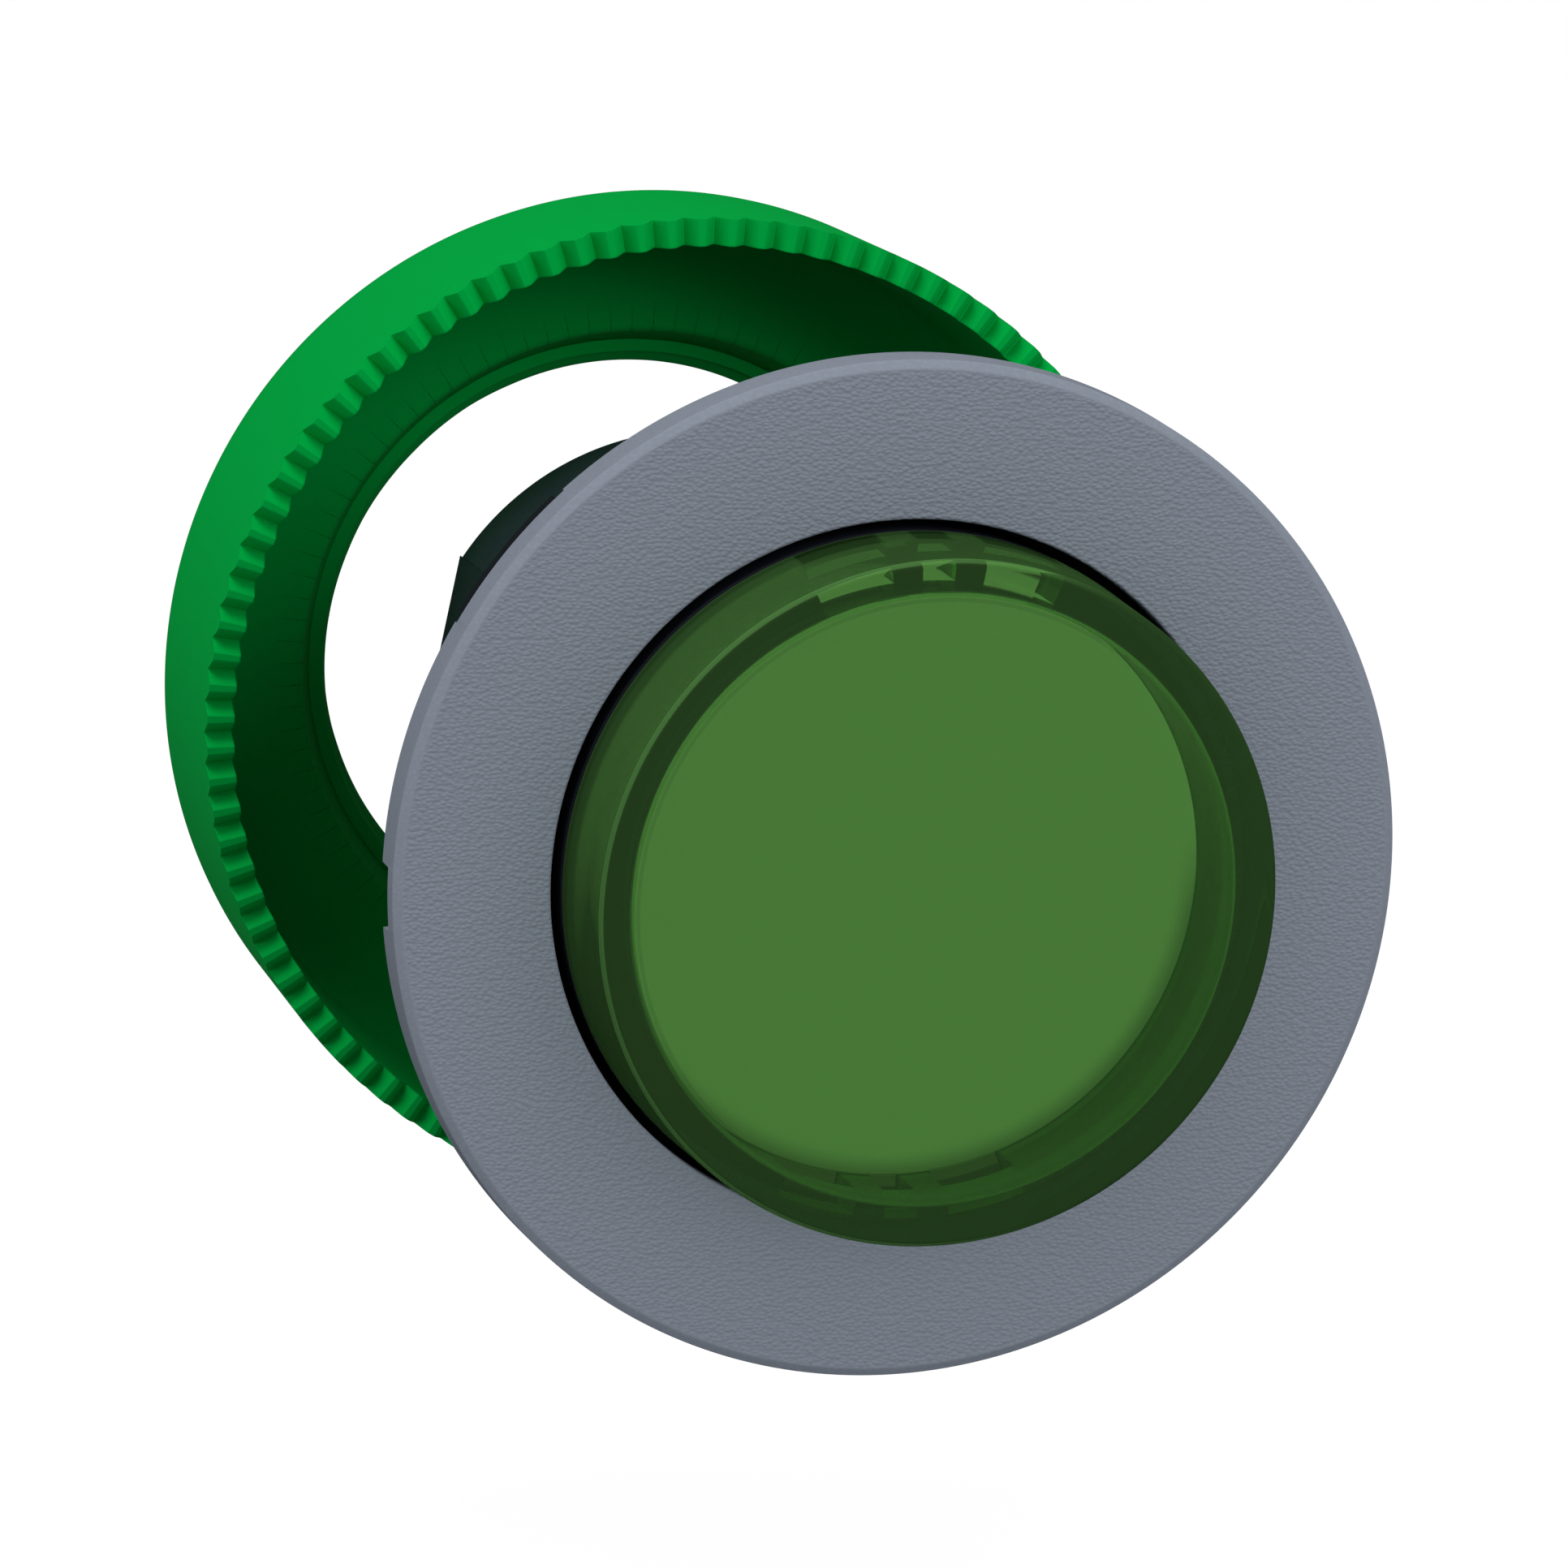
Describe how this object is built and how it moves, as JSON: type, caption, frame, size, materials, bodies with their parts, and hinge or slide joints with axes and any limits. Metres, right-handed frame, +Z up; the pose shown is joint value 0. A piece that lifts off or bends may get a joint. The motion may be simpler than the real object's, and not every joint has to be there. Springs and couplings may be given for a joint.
{
  "type": "push-button head",
  "caption": "Illuminated push-button head for a round panel hole, with a transparent lens, a sprung plunger and a cup-shaped toothed nut that clamps it from behind.",
  "frame": {"origin": "centre of the panel seat, the plane that the gasket presses on", "axes": "+Y along the button's axis from the front of the panel to its back, +X to the right and +Z up as seen from the front"},
  "size_m": [0.0376, 0.0482, 0.0376],
  "materials": {
    "bezel_grey": "fine leather grain",
    "body_black": "satin moulded",
    "lens_green": "clear polished",
    "nut_green": "semi-gloss moulded",
    "seal_rubber": "matt",
    "white_plastic": "satin moulded",
    "spring_steel": "drawn wire"
  },
  "bodies": {
    "head": {"bezel_ring": "bezel_grey", "bezel_seal": "seal_rubber", "panel_gasket": "seal_rubber", "head_body": "body_black", "boot_clamp_ring": "body_black", "rear_guide": "body_black", "sealing_boot": "seal_rubber"},
    "button": {"lens_cap": "lens_green", "lens_seal": "seal_rubber", "legend_plate": "white_plastic", "diffuser": "white_plastic", "lens_carrier": "body_black", "plunger": "body_black", "plunger_clip": "spring_steel", "reflector_sleeve": "white_plastic", "return_spring": "spring_steel"},
    "nut": {"fixing_nut": "nut_green"}
  },
  "joints": [
    {"name": "button_press", "type": "slide", "parent": "head", "child": "button", "axis": [0, 1, 0], "range_m": [0, 0.004], "stiffness_N_per_m": 600, "springref_m": -0.003, "deforming": ["return_spring", "sealing_boot"]},
    {"name": "nut_travel", "type": "slide", "parent": "head", "child": "nut", "axis": [0, -1, 0], "range_m": [0, 0.0246]}
  ]
}
